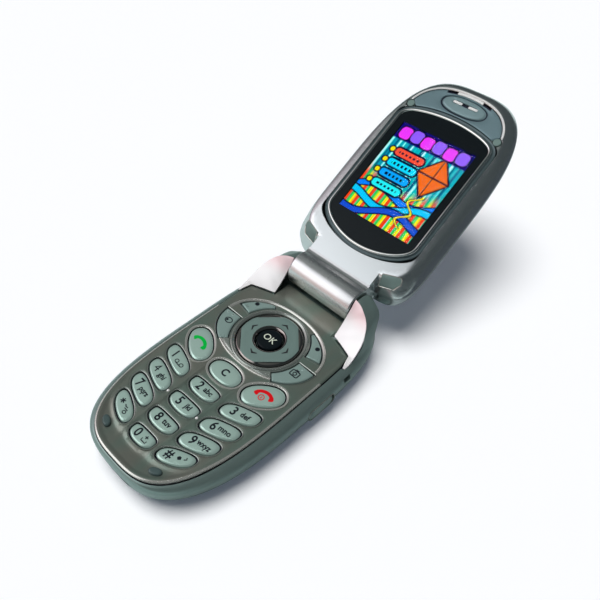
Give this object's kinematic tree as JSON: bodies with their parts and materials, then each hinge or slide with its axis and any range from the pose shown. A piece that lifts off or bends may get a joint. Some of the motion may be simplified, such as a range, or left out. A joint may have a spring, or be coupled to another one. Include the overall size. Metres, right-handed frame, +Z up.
{
  "type": "clamshell mobile phone",
  "caption": "Clamshell mobile phone, open: crowned oval keys, a tilting navigation disc, silver hinge caps, and a lid with a framed display and an earpiece.",
  "frame": {"origin": "centre of the flat underside that the phone rests on", "axes": "+X is the right-hand side of the key panel, +Y points from the bottom end to the hinge, +Z is up out of the key panel"},
  "size_m": [0.0506, 0.1541, 0.0568],
  "materials": {
    "housing_grey": "satin grey-green lacquer",
    "panel_brown": "metallic grey-brown lacquer",
    "silver_plastic": "silver lacquer under clear coat",
    "bright_trim": "polished plating",
    "key_silver": "satin pale grey-green",
    "nav_grey": "satin grey-green",
    "gloss_black": "high gloss",
    "bumper_rubber": "soft grey-green",
    "dark_rubber": "matt",
    "plate_blue_grey": "satin blue-grey",
    "window": "clear acrylic with a black printed border",
    "display": "lit colour display",
    "cell": "wrapped cell",
    "contact_gold": "gold plated",
    "board_green": "solder mask",
    "steel": "plain",
    "black_plastic": "moulded",
    "flex_amber": "polyimide film"
  },
  "bodies": {
    "base": {"lower_housing": "housing_grey", "front_panel": "panel_brown", "hinge_caps": "silver_plastic", "key_ring": "bright_trim", "battery_cover": "housing_grey", "battery_cell": "cell", "battery_contacts": "contact_gold", "main_board": "board_green", "board_shields": "steel", "dome_sheet": "steel", "keypad_mat": "dark_rubber", "base_bumpers": "bumper_rubber", "base_screws": "steel", "microphone": "steel", "vibration_motor": "steel", "system_connector": "black_plastic", "headset_jack": "black_plastic", "hinge_pins": "steel", "antenna": "board_green"},
    "lid": {"lid_frame": "silver_plastic", "lid_cover": "housing_grey", "window_lens": "window", "window_bezel": "bright_trim", "lcd_module": "display", "earpiece_plate": "plate_blue_grey", "earpiece_insert": "plate_blue_grey", "receiver": "black_plastic", "flex_cable": "flex_amber", "lid_screws": "steel", "screw_covers": "bumper_rubber", "lid_bumpers": "bumper_rubber", "hinge_module": "steel", "sub_display": "display", "outer_lens": "gloss_black", "camera_module": "black_plastic"},
    "key_send": {"key_send": "key_silver"},
    "key_end": {"key_end": "key_silver"},
    "key_clear": {"key_clear": "key_silver"},
    "key_1": {"key_1": "key_silver"},
    "key_2": {"key_2": "key_silver"},
    "key_3": {"key_3": "key_silver"},
    "key_4": {"key_4": "key_silver"},
    "key_5": {"key_5": "key_silver"},
    "key_6": {"key_6": "key_silver"},
    "key_7": {"key_7": "key_silver"},
    "key_8": {"key_8": "key_silver"},
    "key_9": {"key_9": "key_silver"},
    "key_star": {"key_star": "key_silver"},
    "key_0": {"key_0": "key_silver"},
    "key_hash": {"key_hash": "key_silver"},
    "key_soft_right": {"key_soft_right": "key_silver"},
    "key_soft_left": {"key_soft_left": "key_silver"},
    "key_side_right": {"key_side_right": "key_silver"},
    "key_side_left": {"key_side_left": "key_silver"},
    "key_ok": {"key_ok": "gloss_black"},
    "nav_gimbal": {"nav_gimbal": "steel"},
    "nav_disc": {"nav_disc": "nav_grey"},
    "volume_key": {"volume_key": "nav_grey"},
    "battery_latch": {"battery_latch": "housing_grey"},
    "jack_cover": {"jack_cover": "dark_rubber"}
  },
  "joints": [
    {"name": "lid_hinge", "type": "hinge", "parent": "base", "child": "lid", "pos_m": [0, 0.0387, 0.0169], "axis": [1, 0, 0], "range_deg": [0, 151]},
    {"name": "key_send_press", "type": "slide", "parent": "base", "child": "key_send", "axis": [0, 0, -1], "range_m": [0, 0.0003], "stiffness_N_per_m": 600, "springref_m": -0.0004},
    {"name": "key_end_press", "type": "slide", "parent": "base", "child": "key_end", "axis": [0, 0, -1], "range_m": [0, 0.0003], "stiffness_N_per_m": 600, "springref_m": -0.0004},
    {"name": "key_clear_press", "type": "slide", "parent": "base", "child": "key_clear", "axis": [0, 0, -1], "range_m": [0, 0.0003], "stiffness_N_per_m": 600, "springref_m": -0.0004},
    {"name": "key_1_press", "type": "slide", "parent": "base", "child": "key_1", "axis": [0, 0, -1], "range_m": [0, 0.0003], "stiffness_N_per_m": 600, "springref_m": -0.0004},
    {"name": "key_2_press", "type": "slide", "parent": "base", "child": "key_2", "axis": [0, 0, -1], "range_m": [0, 0.0003], "stiffness_N_per_m": 600, "springref_m": -0.0004},
    {"name": "key_3_press", "type": "slide", "parent": "base", "child": "key_3", "axis": [0, 0, -1], "range_m": [0, 0.0003], "stiffness_N_per_m": 600, "springref_m": -0.0004},
    {"name": "key_4_press", "type": "slide", "parent": "base", "child": "key_4", "axis": [0, 0, -1], "range_m": [0, 0.0003], "stiffness_N_per_m": 600, "springref_m": -0.0004},
    {"name": "key_5_press", "type": "slide", "parent": "base", "child": "key_5", "axis": [0, 0, -1], "range_m": [0, 0.0003], "stiffness_N_per_m": 600, "springref_m": -0.0004},
    {"name": "key_6_press", "type": "slide", "parent": "base", "child": "key_6", "axis": [0, 0, -1], "range_m": [0, 0.0003], "stiffness_N_per_m": 600, "springref_m": -0.0004},
    {"name": "key_7_press", "type": "slide", "parent": "base", "child": "key_7", "axis": [0, 0, -1], "range_m": [0, 0.0003], "stiffness_N_per_m": 600, "springref_m": -0.0004},
    {"name": "key_8_press", "type": "slide", "parent": "base", "child": "key_8", "axis": [0, 0, -1], "range_m": [0, 0.0003], "stiffness_N_per_m": 600, "springref_m": -0.0004},
    {"name": "key_9_press", "type": "slide", "parent": "base", "child": "key_9", "axis": [0, 0, -1], "range_m": [0, 0.0003], "stiffness_N_per_m": 600, "springref_m": -0.0004},
    {"name": "key_star_press", "type": "slide", "parent": "base", "child": "key_star", "axis": [0, 0, -1], "range_m": [0, 0.0003], "stiffness_N_per_m": 600, "springref_m": -0.0004},
    {"name": "key_0_press", "type": "slide", "parent": "base", "child": "key_0", "axis": [0, 0, -1], "range_m": [0, 0.0003], "stiffness_N_per_m": 600, "springref_m": -0.0004},
    {"name": "key_hash_press", "type": "slide", "parent": "base", "child": "key_hash", "axis": [0, 0, -1], "range_m": [0, 0.0003], "stiffness_N_per_m": 600, "springref_m": -0.0004},
    {"name": "key_soft_right_press", "type": "slide", "parent": "base", "child": "key_soft_right", "axis": [0, 0, -1], "range_m": [0, 0.0003], "stiffness_N_per_m": 600, "springref_m": -0.0004},
    {"name": "key_soft_left_press", "type": "slide", "parent": "base", "child": "key_soft_left", "axis": [0, 0, -1], "range_m": [0, 0.0003], "stiffness_N_per_m": 600, "springref_m": -0.0004},
    {"name": "key_side_right_press", "type": "slide", "parent": "base", "child": "key_side_right", "axis": [0, 0, -1], "range_m": [0, 0.0003], "stiffness_N_per_m": 600, "springref_m": -0.0004},
    {"name": "key_side_left_press", "type": "slide", "parent": "base", "child": "key_side_left", "axis": [0, 0, -1], "range_m": [0, 0.0003], "stiffness_N_per_m": 600, "springref_m": -0.0004},
    {"name": "key_ok_press", "type": "slide", "parent": "base", "child": "key_ok", "axis": [0, 0, -1], "range_m": [0, 0.0003], "stiffness_N_per_m": 600, "springref_m": -0.0004},
    {"name": "nav_tilt_x", "type": "hinge", "parent": "base", "child": "nav_gimbal", "pos_m": [0, 0.013, 0.0112], "axis": [1, 0, 0], "range_deg": [-1.5, 1.5], "stiffness_Nm_per_rad": 0.3},
    {"name": "nav_tilt_y", "type": "hinge", "parent": "nav_gimbal", "child": "nav_disc", "pos_m": [0, 0.013, 0.0112], "axis": [0, 1, 0], "range_deg": [-1.5, 1.5], "stiffness_Nm_per_rad": 0.3},
    {"name": "volume_rock", "type": "hinge", "parent": "base", "child": "volume_key", "pos_m": [-0.0242, 0.009, 0.0062], "axis": [0, 0, 1], "range_deg": [-2.5, 2.5], "stiffness_Nm_per_rad": 0.2},
    {"name": "latch_slide", "type": "slide", "parent": "base", "child": "battery_latch", "axis": [0, 1, 0], "range_m": [0, 0.0014], "stiffness_N_per_m": 300, "springref_m": -0.0005},
    {"name": "jack_flap", "type": "hinge", "parent": "base", "child": "jack_cover", "pos_m": [0.0243, 0.0135, 0.007], "axis": [0, 0, 1], "range_deg": [0, 70]}
  ]
}
